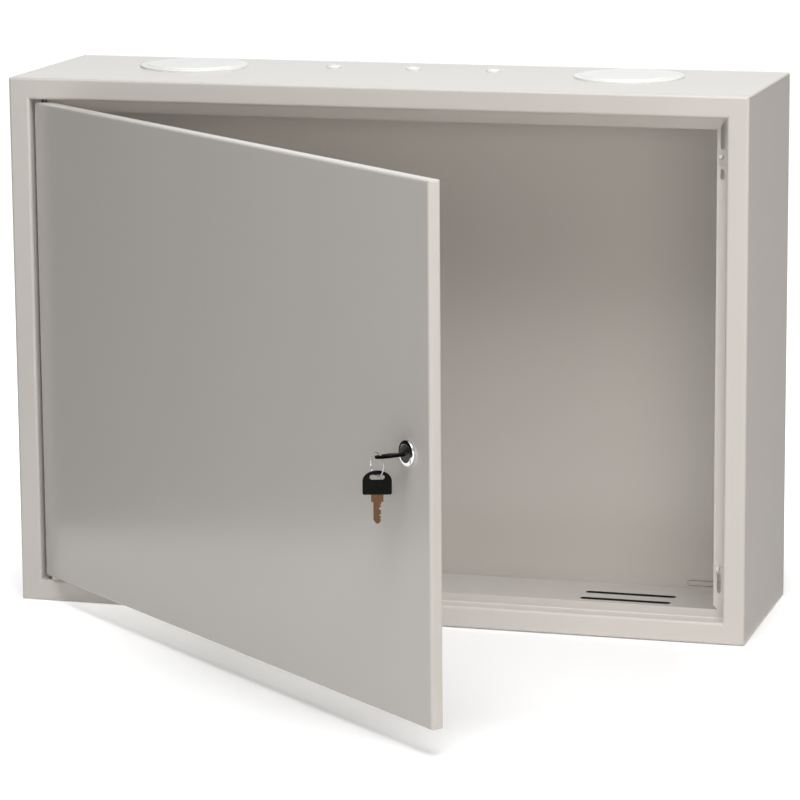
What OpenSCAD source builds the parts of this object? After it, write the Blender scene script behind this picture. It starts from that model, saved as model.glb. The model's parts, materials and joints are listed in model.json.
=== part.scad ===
// Steel wall enclosure: a folded and welded sheet-steel case with a flush hinged door, a cam lock with
// its key, a spare key on a ring, blanking plugs in the top and ventilation slots in the floor.
// X runs to the right seen from the front, Y runs back into the wall, Z runs up.
// The origin is the middle of the back face, which is the centre of the four wall fixing holes.

/* [Case] */
// Outside width
case_w = 700; // [600:20:800]
// Outside height
case_h = 500; // [400:20:600]
// Outside depth
case_d = 195; // [165:5:250]
// Thickness of the case sheet
sheet_t = 1.5; // [1.2:0.1:2]
// Width of the front frame round the door
frame_w = 20; // [18:1:26]
// Depth of the step that the door closes into
rebate_d = 18; // [17:0.5:22]
// Width of the stop flange behind the door, at the top and sides
flange_w = 12; // [11:1:14]
// Height of the stop flange at the bottom
sill_h = 8; // [6:0.5:11]

/* [Door] */
// Angle that the door stands open
door_open = 40; // [0:5:110]
// Gap round the door
door_gap = 3; // [2.5:0.5:4]
// Thickness of the door tray
door_t = 12; // [11.5:0.5:13]
// Thickness of the door sheet
door_sheet = 1.5; // [1.2:0.1:2]

/* [Lock and keys] */
// Distance of the lock from the free edge of the door
lock_inset = 32; // [30:1:40]
// Diameter of the lock head
head_d = 22; // [21:0.5:24]
// Angle that the lock is turned from its locked position
lock_turn = 80; // [75:5:90]
// Angle between the spare key's face and the plane across the ring
spare_twist = 33; // [0:3:45]

/* [Plugs, vents and fixings] */
// Diameter of the large blanking plugs
large_plug_d = 103; // [90:1:110]
// Distance of each large plug from the end of the top
large_plug_in = 138; // [130:4:182]
// Diameter of the small blanking plugs
small_plug_d = 14; // [12:1:18]
// Length of the ventilation slots
vent_l = 88; // [60:2:100]
// Distance of the middle of the slots from the side of the case
vent_in = 140; // [110:5:180]
// Spacing of the wall fixing holes across the back
fixing_x = 600; // [480:20:620]
// Spacing of the wall fixing holes up the back
fixing_z = 400; // [320:20:420]

/* [Hidden] */
$fn = 64;

// Sheet metal
bend_r = 1;       // inside radius of every bend
bend_steps = 5;   // flats that round each bend
weld_r = 2;       // radius of the ground corner welds
lip_w = 10;       // width of the folded lip behind the door
over = 1;         // how far a cutter runs past what it cuts
slip = 0.05;      // radial running clearance of a pin in its hole

// Holes and slots in the case
fixing_r = 4.5;
vent_w = 8;
vent_x = case_w / 2 - vent_in;
vent_rows = [-63, -39];
knockout_l = 80;
knockout_h = 6;
knockout_in = 13;           // end of the knock-out from the side of the case
knockout_up = 7;
knockout_cut = 0.9;         // width of the groove round a knock-out
knockout_skin = 0.4;        // steel left under the groove
hinge_slot_w = 3.5;
hinge_slot_in = 5;          // middle of the slots from the edge of the stop flange
hinge_slots = [[37, 26], [72, 10]];     // middle below the top of the case, length
low_hinge_slot = [53, 19];              // middle above the bottom of the case, length

// Blanking plugs
large_plug_x = case_w / 2 - large_plug_in;
large_plug_y = -65;
large_plug_h = 2.5;
large_rim = 3;      // how far the plug's flange reaches past its hole
skirt_t = 1.8;
skirt_l = 8;
small_plug_y = -48;
small_plug_h = 2;
small_plug_pitch = 78;
small_rim = 1;
plug_fit = 0.2;     // radial gap of a skirt in its hole

// Rubber buffers on the free-side stop flange
buffer_r = 2.2;
buffer_in = 4;      // from the edge of the stop flange
top_buffer = 56;    // from the top of the case
low_buffer = 67;    // from the bottom of the case
buffer_tip = 1;     // height of the rounded end
buffer_round = 0.8; // how much the end narrows
buffer_gap = 0.3;   // left to the closed door

// Door edges when closed
door_half_w = case_w / 2 - frame_w - door_gap;
door_half_h = case_h / 2 - frame_w - door_gap;

// Door pivot, on an upright axis behind the hinge edge of the door
pivot_in = 10;
pivot_back = door_t / 2;
pivot_x = -door_half_w + pivot_in;
pivot_y = -case_d + pivot_back;
pin_r = 2.5;
pin_head_r = 3.4;
pin_head_h = 1.5;
pin_grip = 10;
pin_reach = 4;
washer_r = 4.4;
block_h = 12;
block_l = 15;
block_side = 3;
block_chamfer = 1.3;
grub_r = 1.5;
grub_key = 0.8;
grub_in = 1;     // how far the grub screw sits below the face of the block

// Cam lock, measured outwards from the face of the door
head_h = 3.2;
head_bevel = 1.2;
barrel_r = 9;
barrel_flat = 8;
plug_r = 6.5;
plug_flange_r = 7.5;
plug_flange_h = 2.2;
plug_face = 3;
cam_t = 2.5;
cam_gap = 0.4;
cam_front = -(rebate_d + sheet_t + cam_gap);
barrel_end = cam_front + 0.9;   // the plug stands a little out of the barrel
tang = 7;
tang_under = 0.1;               // lets the washer clamp the cam and not the tang
cam_hub_r = 8;
cam_tip_r = 6;
cam_past = 3;                   // how far the cam reaches past the inside of the frame
cam_l = lock_inset + door_gap + cam_past;
cam_washer_r = 5;
washer_t = 0.8;
nut_h = 4;
nut_flats = 24;
lock_washer_r = 12;
screw_r = 2;
screw_head_r = 3.8;
screw_head_h = 2.4;
screw_l = 7;
screw_bevel = 1;
cross_w = 0.9;
cross_h = 1.2;
lock_x = door_half_w - lock_inset;

// Keys: the bow rises from 0 and the blade runs down from 0
bow_w = 24;
bow_l = 20;
bow_t = 2.4;
bow_arc_r = 16;
eye_w = 12;
eye_h = 3.2;
eye_top = 16.5;
blade_t = 2;
shoulder_w = 10;
shoulder_l = 6;
blade_w = 6.5;
blade_l = 24;
blade_root = 8;
keyway_w = 2.3;
keyway_h = 7;
keyway_l = 20;
cut_pitch = 2.8;
cut_depths = [1.0, 2.1, 0.7, 1.7, 1.2];
cut_flat = 0.3;
groove_w = 1.2;
groove_depth = 0.4;
neck = 6.4;      // length of blade left outside the lock
bow_z = head_h + neck;

// Key ring, round the lower end of the bow's eye
ring_r = 9.3;
wire_r = 0.6;
ring_drop = 6.2;
eye_mid = eye_top - eye_h / 2;
bar_mid = (eye_w / 2 + sqrt(pow(bow_arc_r, 2) - pow(eye_mid - bow_l + bow_arc_r, 2))) / 2;
ring_x = -bar_mid * sin(lock_turn);
ring_y = -bar_mid * cos(lock_turn) - ring_drop;
ring_z = bow_z + eye_mid;
hang_gap = 0.1;

// Direction to the left of a direction in the plane
function left_of(d) = [-d[1], d[0]];

// Unit direction from one point to another
function toward(a, b) = (b - a) / norm(b - a);

// Points on an arc
function arc(centre, r, from, to, steps) =
    [for (k = [0 : steps]) let (w = from + (to - from) * k / steps) centre + r * [cos(w), sin(w)]];

// One face of a right-angle bend at p, between directions a and b; side is 1 on the left, -1 on the right
function bend_points(p, a, b, side, t) =
    let (turn = sign(a[0] * b[1] - a[1] * b[0]))
    let (mid_r = bend_r + t / 2)
    let (centre = p + (b - a) * mid_r)
    let (r = mid_r - side * turn * t / 2)
    [for (k = [0 : bend_steps]) let (w = 90 * k / bend_steps) centre + r * (a * sin(w) - b * cos(w))];

// One face of a folded sheet whose middle follows a path
function sheet_side(path, side, t) =
    let (last = len(path) - 1)
    [for (i = [0 : last]) each
        i == 0 ? [path[0] + side * t / 2 * left_of(toward(path[0], path[1]))] :
        i == last ? [path[last] + side * t / 2 * left_of(toward(path[last - 1], path[last]))] :
        bend_points(path[i], toward(path[i - 1], path[i]), toward(path[i], path[i + 1]), side, t)];

// Closed outline of a folded sheet
function sheet_outline(path, t) =
    let (right = sheet_side(path, -1, t))
    concat(sheet_side(path, 1, t), [for (i = [len(right) - 1 : -1 : 0]) right[i]]);

// Section of a case side, back to front, round the frame face and in to the stop flange, as [depth, height]
function case_section(half, flange) =
    let (top = half - sheet_t / 2)
    let (front = -case_d + sheet_t / 2)
    let (inner = half - frame_w + sheet_t / 2)
    let (stop = -case_d + rebate_d + sheet_t / 2)
    let (flange_edge = half - frame_w - flange)
    sheet_outline([[0, top], [front, top], [front, inner], [stop, inner], [stop, flange_edge]], sheet_t);

// Section of a door side, from the middle of the face round to the lip behind, as [depth, height]
function door_section(half, reach) =
    let (edge = half - door_sheet / 2)
    let (face = -case_d + door_sheet / 2)
    let (back = -case_d + door_t - door_sheet / 2)
    sheet_outline([[face, half - reach], [face, edge], [back, edge], [back, half - lip_w]], door_sheet);

// One folded side, lying along X at height half, mitred at both ends, with its corner welds ground round
module mitred_side(section, half, length) {
    round = arc([-weld_r, -weld_r], weld_r, 0, 90, bend_steps);
    nick = concat(round, [[-weld_r, over], [over, over], [over, -weld_r]]);
    wide = length / 2 + over;
    difference() {
        intersection() {
            rotate([90, 0, 90])
                linear_extrude(height = length, center = true)
                    polygon(section);
            rotate([90, 0, 0])
                linear_extrude(height = 3 * case_d, center = true)
                    polygon([[0, half - length / 2], [wide, half + over], [-wide, half + over]]);
        }
        for (end = [0, 1])
            mirror([end, 0, 0])
                translate([length / 2, 0, half])
                    rotate([90, 0, 0])
                        linear_extrude(height = 3 * case_d, center = true)
                            polygon(nick);
    }
}

// A slot cutter with round ends: l long overall and w wide, cutting along Z
module slot(l, w, depth) {
    linear_extrude(height = depth, center = true) {
        square([l - w, w], center = true);
        for (end = [-1, 1])
            translate([end * (l - w) / 2, 0])
                circle(d = w);
    }
}

// Moves what is in the door from its closed place to where it stands open
module opened() {
    translate([pivot_x, pivot_y, 0])
        rotate([0, 0, -door_open])
            translate([-pivot_x, -pivot_y, 0])
                children();
}

// The lock's own frame: X along the door to its free edge, Y up, Z straight out of the door's face
module at_lock() {
    opened()
        translate([lock_x, -case_d, 0])
            rotate([90, 0, 0])
                children();
}

module top_panel() {
    color("gainsboro")
        difference() {
            mitred_side(case_section(case_h / 2, flange_w), case_h / 2, case_w);
            for (x = [-large_plug_x, large_plug_x])
                translate([x, large_plug_y, case_h / 2 - 2 * sheet_t])
                    cylinder(h = 4 * sheet_t, r = large_plug_d / 2 - large_rim);
            for (x = [-small_plug_pitch, 0, small_plug_pitch])
                translate([x, small_plug_y, case_h / 2 - 2 * sheet_t])
                    cylinder(h = 4 * sheet_t, r = small_plug_d / 2 - small_rim);
            translate([pivot_x, pivot_y, case_h / 2 - frame_w - over])
                cylinder(h = sheet_t + 2 * over, r = pin_r + slip);
        }
}

module bottom_panel() {
    color("gainsboro")
        difference() {
            rotate([0, 180, 0])
                mitred_side(case_section(case_h / 2, sill_h), case_h / 2, case_w);
            for (x = [-vent_x, vent_x], y = vent_rows)
                translate([x, y, -case_h / 2])
                    slot(vent_l, vent_w, 4 * sheet_t);
            translate([pivot_x, pivot_y, frame_w - case_h / 2 - sheet_t - over])
                cylinder(h = sheet_t + 2 * over, r = pin_r + slip);
        }
}

// The right-hand side; the stop flange has slots for hinges, so that the door can be hung on either side
module right_side() {
    slot_x = case_w / 2 - frame_w - flange_w + hinge_slot_in;
    color("gainsboro")
        difference() {
            rotate([0, 90, 0])
                mitred_side(case_section(case_w / 2, flange_w), case_w / 2, case_h);
            for (cut = hinge_slots)
                translate([slot_x, rebate_d - case_d, case_h / 2 - cut[0]])
                    rotate([90, 90, 0])
                        slot(cut[1], hinge_slot_w, 4 * sheet_t);
            translate([slot_x, rebate_d - case_d, low_hinge_slot[0] - case_h / 2])
                rotate([90, 90, 0])
                    slot(low_hinge_slot[1], hinge_slot_w, 4 * sheet_t);
        }
}

module left_side() {
    mirror([1, 0, 0])
        right_side();
}

// The back, with the wall fixing holes and a closed knock-out for cables in each lower corner
module back_panel() {
    inside_w = case_w - 2 * sheet_t;
    inside_h = case_h - 2 * sheet_t;
    knockout_x = (case_w - knockout_l) / 2 - knockout_in;
    color("gainsboro")
        difference() {
            translate([-inside_w / 2, -sheet_t, -inside_h / 2])
                cube([inside_w, sheet_t, inside_h]);
            for (x = [-fixing_x / 2, fixing_x / 2], z = [-fixing_z / 2, fixing_z / 2])
                translate([x, 0, z])
                    rotate([90, 0, 0])
                        cylinder(h = 4 * sheet_t, r = fixing_r, center = true);
            for (side = [-1, 1])
                translate([side * knockout_x, -sheet_t, knockout_up - case_h / 2])
                    rotate([90, 0, 0])
                        difference() {
                            slot(knockout_l, knockout_h, 2 * (sheet_t - knockout_skin));
                            slot(knockout_l - 2 * knockout_cut, knockout_h - 2 * knockout_cut, 4 * sheet_t);
                        }
        }
}

// A blanking plug: a bevelled disc on a thin skirt that presses into the hole
module blanking_plug(r, h, hole_r, skirt) {
    bevel = h / 2;
    outer = hole_r - plug_fit;
    color("white")
        rotate_extrude()
            polygon([
                [0, 0], [outer - skirt_t, 0], [outer - skirt_t, -skirt], [outer - skirt_t / 2, -skirt],
                [outer, -skirt + skirt_t], [outer, 0], [r, 0], [r, h - bevel], [r - bevel, h], [0, h]
            ]);
}

module large_plug(side) {
    translate([side * large_plug_x, large_plug_y, case_h / 2])
        blanking_plug(large_plug_d / 2, large_plug_h, large_plug_d / 2 - large_rim, skirt_l);
}

module small_plug(place) {
    translate([place * small_plug_pitch, small_plug_y, case_h / 2])
        blanking_plug(small_plug_d / 2, small_plug_h, small_plug_d / 2 - small_rim, skirt_l / 2);
}

// A rubber buffer that the closed door rests on
module buffer(height) {
    flange_edge = case_w / 2 - frame_w - flange_w;
    body_h = rebate_d - door_t - buffer_gap - buffer_tip;
    color("whitesmoke")
        translate([flange_edge + buffer_in, rebate_d - case_d, height])
            rotate([90, 0, 0]) {
                cylinder(h = body_h, r = buffer_r);
                translate([0, 0, body_h])
                    cylinder(h = buffer_tip, r1 = buffer_r, r2 = buffer_r - buffer_round);
            }
}

// The lower pivot pin: riveted into the frame, it stands up into the door
module pivot_pin_lower() {
    ledge = frame_w - case_h / 2;
    color("silver")
        translate([pivot_x, pivot_y, ledge - sheet_t - pin_head_h]) {
            cylinder(h = pin_head_h, r = pin_head_r);
            cylinder(h = pin_head_h + sheet_t + door_gap + door_sheet + pin_grip, r = pin_r);
        }
}

// The nylon washer that carries the door
module pivot_washer() {
    color("ivory")
        translate([pivot_x, pivot_y, frame_w - case_h / 2])
            difference() {
                cylinder(h = door_gap, r = washer_r);
                translate([0, 0, -over])
                    cylinder(h = door_gap + 2 * over, r = pin_r + slip);
            }
}

module door_panel() {
    reach = min(door_half_w, door_half_h);
    color("gainsboro")
        opened()
            difference() {
                union() {
                    for (turn = [0, 180])
                        rotate([0, turn, 0])
                            mitred_side(door_section(door_half_h, reach), door_half_h, 2 * door_half_w);
                    for (turn = [90, 270])
                        rotate([0, turn, 0])
                            mitred_side(door_section(door_half_w, reach), door_half_w, 2 * door_half_h);
                }
                translate([lock_x, -case_d, 0])
                    rotate([90, 0, 0])
                        linear_extrude(height = 4 * door_sheet, center = true)
                            barrel_section(slip);
                translate([pivot_x, pivot_y, -case_h])
                    cylinder(h = 2 * case_h, r = pin_r + slip);
            }
}

// A steel block welded into the hinge corner of the door tray, bored for a pivot pin; side is 1 at the top
module hinge_block(side) {
    depth = door_t - 2 * door_sheet;
    outer = door_half_h - door_sheet;
    front = -case_d + door_sheet;
    color("silver")
        opened()
            mirror([0, 0, side > 0 ? 0 : 1])
                difference() {
                    translate([block_side - door_half_w, 0, 0])
                        rotate([90, 0, 90])
                            linear_extrude(height = block_l)
                                polygon([
                                    [front, outer - block_h], [front + depth, outer - block_h],
                                    [front + depth, outer - block_chamfer], [front + depth - block_chamfer, outer],
                                    [front + block_chamfer, outer], [front, outer - block_chamfer]
                                ]);
                    translate([pivot_x, pivot_y, outer - block_h - over])
                        cylinder(h = block_h + 2 * over, r = pin_r + slip);
                    if (side > 0)
                        translate([pivot_x, pivot_y, outer - block_h / 2])
                            rotate([0, 90, 0])
                                cylinder(h = block_l, r = grub_r + slip);
                }
}

// The upper pivot pin: pushed up through the block and the door into the frame, and held by a grub screw
module pivot_pin_upper() {
    foot = door_half_h - door_sheet - block_h;
    color("silver")
        opened()
            translate([pivot_x, pivot_y, foot - pin_head_h]) {
                cylinder(h = pin_head_h, r = pin_head_r);
                cylinder(h = pin_head_h + block_h + door_sheet + door_gap + sheet_t + pin_reach, r = pin_r);
            }
}

module grub_screw() {
    length = block_l - pivot_in + block_side - pin_r - grub_in;
    color("dimgray")
        opened()
            translate([pivot_x + pin_r + slip, pivot_y, door_half_h - door_sheet - block_h / 2])
                rotate([0, 90, 0])
                    difference() {
                        cylinder(h = length, r = grub_r);
                        translate([0, 0, length / 2])
                            cylinder(h = length, r = grub_key, $fn = 6);
                    }
}

// Section of the lock barrel, a circle with two flats, grown by a clearance
module barrel_section(clearance) {
    intersection() {
        circle(r = barrel_r + clearance);
        square([2 * (barrel_flat + clearance), 3 * barrel_r], center = true);
    }
}

module lock_body() {
    head_r = head_d / 2;
    color("silver")
        at_lock()
            difference() {
                union() {
                    rotate_extrude()
                        polygon([
                            [0, 0], [head_r, 0], [head_r, head_h - head_bevel],
                            [head_r - head_bevel, head_h], [0, head_h]
                        ]);
                    translate([0, 0, barrel_end])
                        linear_extrude(height = -barrel_end)
                            barrel_section(0);
                }
                translate([0, 0, barrel_end - over])
                    cylinder(h = head_h - barrel_end + 2 * over, r = plug_r + slip);
                translate([0, 0, plug_face - plug_flange_h])
                    cylinder(h = plug_flange_h + over, r = plug_flange_r + slip);
            }
}

module lock_washer() {
    color("silver")
        at_lock()
            translate([0, 0, -door_sheet - washer_t])
                difference() {
                    cylinder(h = washer_t, r = lock_washer_r);
                    translate([0, 0, -over])
                        cylinder(h = washer_t + 2 * over, r = barrel_r + slip);
                }
}

module lock_nut() {
    color("silver")
        at_lock()
            translate([0, 0, -door_sheet - washer_t - nut_h])
                difference() {
                    cylinder(h = nut_h, r = nut_flats / sqrt(3), $fn = 6);
                    translate([0, 0, -over])
                        cylinder(h = nut_h + 2 * over, r = barrel_r + slip);
                }
}

// What turns with the key
module turned() {
    at_lock()
        rotate([0, 0, -lock_turn])
            children();
}

module lock_plug() {
    tang_end = cam_front - cam_t + tang_under;
    color("lightslategray")
        turned()
            difference() {
                union() {
                    translate([0, 0, cam_front])
                        cylinder(h = plug_face - cam_front, r = plug_r);
                    translate([0, 0, plug_face - plug_flange_h])
                        cylinder(h = plug_flange_h, r = plug_flange_r);
                    translate([-tang / 2, -tang / 2, tang_end])
                        cube([tang, tang, cam_front - tang_end]);
                }
                translate([-keyway_w / 2, -keyway_h / 2, plug_face - keyway_l])
                    cube([keyway_w, keyway_h, keyway_l + over]);
                translate([0, 0, tang_end - over])
                    cylinder(h = screw_l + over - cam_t, r = screw_r + slip);
            }
}

// The cam points to the free edge of the door when the lock is locked
module lock_cam() {
    color("silver")
        turned()
            translate([0, 0, cam_front - cam_t])
                linear_extrude(height = cam_t)
                    difference() {
                        union() {
                            circle(r = cam_hub_r);
                            translate([0, -cam_tip_r])
                                square([cam_l - cam_tip_r, 2 * cam_tip_r]);
                            translate([cam_l - cam_tip_r, 0])
                                circle(r = cam_tip_r);
                        }
                        square(tang, center = true);
                    }
}

module cam_washer() {
    color("silver")
        turned()
            translate([0, 0, cam_front - cam_t - washer_t])
                difference() {
                    cylinder(h = washer_t, r = cam_washer_r);
                    translate([0, 0, -over])
                        cylinder(h = washer_t + 2 * over, r = screw_r + slip);
                }
}

module cam_screw() {
    seat = cam_front - cam_t - washer_t;
    color("silver")
        turned()
            difference() {
                union() {
                    translate([0, 0, seat - screw_head_h + screw_bevel])
                        cylinder(h = screw_head_h - screw_bevel, r = screw_head_r);
                    translate([0, 0, seat - screw_head_h])
                        cylinder(h = screw_bevel, r1 = screw_head_r - screw_bevel, r2 = screw_head_r);
                    translate([0, 0, seat])
                        cylinder(h = screw_l - cam_t, r = screw_r);
                }
                for (turn = [0, 90])
                    rotate([0, 0, turn])
                        translate([0, 0, seat - screw_head_h])
                            cube([2 * screw_r, cross_w, 2 * cross_h], center = true);
            }
}

// The plastic bow, in the plane across X, with an eye for the ring and a pocket for the blade's root
module bow() {
    color("#1c1c1c")
        difference() {
            rotate([90, 0, 90])
                linear_extrude(height = bow_t, center = true)
                    difference() {
                        intersection() {
                            translate([-bow_w / 2, 0])
                                square([bow_w, bow_l]);
                            translate([0, bow_l - bow_arc_r])
                                circle(r = bow_arc_r);
                        }
                        translate([0, eye_mid])
                            square([eye_w, eye_h], center = true);
                    }
            translate([-blade_t / 2, -blade_w / 2, -over])
                cube([blade_t, blade_w, blade_root + over]);
        }
}

// The brass blade, with a shoulder that stops it, a groove down each face and a row of cuts in one edge
module blade() {
    half = blade_w / 2;
    color("darkgoldenrod")
        difference() {
            rotate([90, 0, 90])
                linear_extrude(height = blade_t, center = true)
                    polygon([
                        [-half, blade_root], [-half, 0], [-shoulder_w / 2, 0], [-shoulder_w / 2, -shoulder_l],
                        [-half, -shoulder_l], [-half, half - blade_l], [-half / 3, -blade_l], [half / 3, -blade_l],
                        [half, half - blade_l], [half, -shoulder_l], [shoulder_w / 2, -shoulder_l],
                        [shoulder_w / 2, 0], [half, 0], [half, blade_root]
                    ]);
            for (i = [0 : len(cut_depths) - 1])
                translate([0, half, -shoulder_l - cut_pitch * (i + 1)])
                    rotate([90, 0, 90])
                        linear_extrude(height = 2 * blade_t, center = true)
                            polygon([
                                [over, cut_depths[i] + over], [-cut_depths[i], cut_flat],
                                [-cut_depths[i], -cut_flat], [over, -cut_depths[i] - over]
                            ]);
            for (side = [-1, 1])
                translate([side * blade_t / 2, -half / 2, -blade_l / 2 - shoulder_l / 2])
                    cube([2 * groove_depth, groove_w, blade_l - shoulder_l + 2 * over], center = true);
        }
}

// The key in the lock
module inserted() {
    turned()
        translate([0, 0, bow_z])
            children();
}

module key_ring() {
    color("lightgray")
        at_lock()
            translate([ring_x, ring_y, ring_z])
                rotate_extrude()
                    translate([ring_r, 0])
                        circle(r = wire_r, $fn = 16);
}

// The spare key, hanging by its eye from the bottom of the ring
module hanging() {
    at_lock()
        translate([ring_x, ring_y - ring_r + wire_r + hang_gap - eye_top, ring_z])
            rotate([0, -spare_twist, 0])
                rotate([-90, 0, 0])
                    children();
}

top_panel();
bottom_panel();
left_side();
right_side();
back_panel();
large_plug(-1);  // large_plug_left
large_plug(1);  // large_plug_right
small_plug(-1);  // small_plug_left
small_plug(0);  // small_plug_middle
small_plug(1);  // small_plug_right
buffer(case_h / 2 - top_buffer);  // buffer_upper
buffer(low_buffer - case_h / 2);  // buffer_lower
pivot_pin_lower();
pivot_washer();
door_panel();
hinge_block(-1);  // hinge_block_lower
hinge_block(1);  // hinge_block_upper
pivot_pin_upper();
grub_screw();
lock_body();
lock_washer();
lock_nut();
lock_plug();
lock_cam();
cam_washer();
cam_screw();
inserted() blade();  // key_blade
inserted() bow();  // key_bow
key_ring();
hanging() blade();  // spare_blade
hanging() bow();  // spare_bow
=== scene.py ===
# %% [markdown]
# # Dressing a steel wall enclosure
# A wall enclosure is a shallow cabinet of folded and welded sheet steel. It carries a flush door on two
# hidden pivots, a cam lock with its key, and white plugs that close the knock-outs in the top.
# The construction arrives as a fixed frame, and this lesson gives it its finish, its small parts and its
# studio. Everything is in metres, X to the right, Y back into the wall and Z up.

# %% Load the frame
import json
import math
from functools import partial

import bmesh
import bpy
from mathutils import Matrix, Vector

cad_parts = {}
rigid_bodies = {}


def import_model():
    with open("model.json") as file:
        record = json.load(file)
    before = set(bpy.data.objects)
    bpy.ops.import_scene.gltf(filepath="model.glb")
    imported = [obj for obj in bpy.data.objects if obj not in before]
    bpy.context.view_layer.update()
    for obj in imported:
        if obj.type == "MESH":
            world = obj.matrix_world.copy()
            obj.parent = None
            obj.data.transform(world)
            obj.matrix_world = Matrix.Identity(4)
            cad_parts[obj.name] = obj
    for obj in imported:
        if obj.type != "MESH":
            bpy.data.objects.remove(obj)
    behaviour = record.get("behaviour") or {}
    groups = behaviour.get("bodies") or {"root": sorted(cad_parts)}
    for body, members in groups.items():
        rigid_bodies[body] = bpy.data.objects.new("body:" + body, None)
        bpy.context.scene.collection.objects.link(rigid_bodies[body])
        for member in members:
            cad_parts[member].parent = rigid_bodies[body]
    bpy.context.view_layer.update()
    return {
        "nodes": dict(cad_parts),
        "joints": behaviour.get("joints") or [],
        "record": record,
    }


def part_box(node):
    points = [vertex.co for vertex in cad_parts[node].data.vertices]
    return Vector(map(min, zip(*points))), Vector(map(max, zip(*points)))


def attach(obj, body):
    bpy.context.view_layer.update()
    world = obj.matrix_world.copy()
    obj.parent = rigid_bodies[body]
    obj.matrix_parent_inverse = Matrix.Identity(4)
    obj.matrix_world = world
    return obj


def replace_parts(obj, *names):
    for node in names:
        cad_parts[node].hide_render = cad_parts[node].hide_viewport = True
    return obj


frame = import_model()
nodes = frame["nodes"]
record = frame["record"]
MM = 0.001
SHEET = 1.5                       # thickness of the case's steel, in millimetres
case_low, case_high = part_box("back_panel")
floor_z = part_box("bottom_panel")[0].z
print("frame loaded:", len(nodes), "nodes, floor at", round(floor_z, 4))

# %% [markdown]
# ## The camera
# A long lens from a little to the right and a little above shows the front, the top and one side, as a
# catalogue does. A long lens keeps the case's edges nearly parallel.

# %% Camera
scene = bpy.context.scene
STAND = Vector((1.0023, -3.5422, 0.6595))
YAW, PITCH, ROLL = (math.radians(angle) for angle in (16.239, -11.313, 0.432))
camera_data = bpy.data.cameras.new("camera")
camera_data.sensor_width = 36.0
camera_data.lens = 174.2
camera_data.clip_end = 60.0
camera = bpy.data.objects.new("camera", camera_data)
scene.collection.objects.link(camera)
level = Matrix.Rotation(math.radians(90), 4, "X")
turn = (Matrix.Rotation(YAW, 4, "Z") @ Matrix.Rotation(PITCH, 4, "X")
        @ Matrix.Rotation(ROLL, 4, "Y") @ level)
camera.matrix_world = Matrix.Translation(STAND) @ turn
scene.camera = camera
scene.view_settings.view_transform = "Standard"
print("camera", round(STAND.length, 3), "m from the origin")

# %% [markdown]
# ## Helpers for materials
# Each finish is a small tree of nodes. A helper adds a node and sets its sockets by name, which keeps the
# trees below short enough to read. In a name, an underscore stands for a space and a digit for the socket
# of that number, because a node of arithmetic gives all its inputs one name.

# %% Material helpers
def add(tree, kind, **sockets):
    """Adds a node and sets its input sockets; a socket's value may be a number, a colour or an output."""
    made = tree.nodes.new(kind)
    for name, value in sockets.items():
        plug_in(tree, made, name.replace("_", " "), value)
    return made


def plug_in(tree, to, name, value):
    """Sets one input of a node, or links an output of another node to it."""
    socket = to.inputs[int(name)] if name.isdigit() else to.inputs[name]
    if isinstance(value, bpy.types.NodeSocket):
        tree.links.new(value, socket)
    else:
        socket.default_value = value


def new_material(name):
    """A material with a Principled shader; one of that name that came with the frame steps aside."""
    if name in bpy.data.materials:
        bpy.data.materials[name].name = "plain_" + name
    made = bpy.data.materials.new(name)
    made.use_nodes = True
    tree = made.node_tree
    tree.nodes.clear()
    out = tree.nodes.new("ShaderNodeOutputMaterial")
    shader = tree.nodes.new("ShaderNodeBsdfPrincipled")
    tree.links.new(shader.outputs["BSDF"], out.inputs["Surface"])
    place = tree.nodes.new("ShaderNodeTexCoord").outputs["Object"]
    return made, tree, shader, place


def noise(tree, place, scale, detail=2.0, rough=0.5):
    """Noise in the object's own metres: scale is how many lumps there are in a metre."""
    made = add(tree, "ShaderNodeTexNoise", Vector=place, Scale=scale, Detail=detail, Roughness=rough)
    return made.outputs["Fac"]


def spread(tree, value, low, high, start=0.0, end=1.0):
    """Maps a value that runs from start to end on to low to high."""
    made = add(tree, "ShaderNodeMapRange", Value=value, From_Min=start, From_Max=end,
               To_Min=low, To_Max=high)
    return made.outputs["Result"]


def tint(tree, amount, dark, light):
    """Mixes two colours by an amount; a mix keeps its colours in sockets 6 and 7, and gives output 2."""
    made = add(tree, "ShaderNodeMix", **{"0": amount, "6": (*dark, 1), "7": (*light, 1)})
    made.data_type = "RGBA"
    return made.outputs[2]


def bump(tree, height, strength, depth=0.0001):
    """A bump of that depth in metres."""
    made = add(tree, "ShaderNodeBump", Height=height, Strength=strength, Distance=depth)
    return made.outputs["Normal"]


def maths(tree, operation, first, second=0.0, third=0.0):
    """One step of arithmetic on values or fields."""
    made = add(tree, "ShaderNodeMath", **{"0": first, "1": second, "2": third})
    made.operation = operation
    return made.outputs[0]


def between(tree, value, low, high):
    """One where a value lies between two limits, and zero elsewhere."""
    above = maths(tree, "GREATER_THAN", value, low)
    return maths(tree, "MULTIPLY", above, maths(tree, "LESS_THAN", value, high))


def combine(tree, x=0.0, y=0.0, z=0.0):
    """A vector from its three values."""
    return add(tree, "ShaderNodeCombineXYZ", X=x, Y=y, Z=z).outputs[0]


def separate(tree, vector):
    """The three values of a vector."""
    return tuple(add(tree, "ShaderNodeSeparateXYZ", Vector=vector).outputs)


print("material helpers ready")
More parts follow.
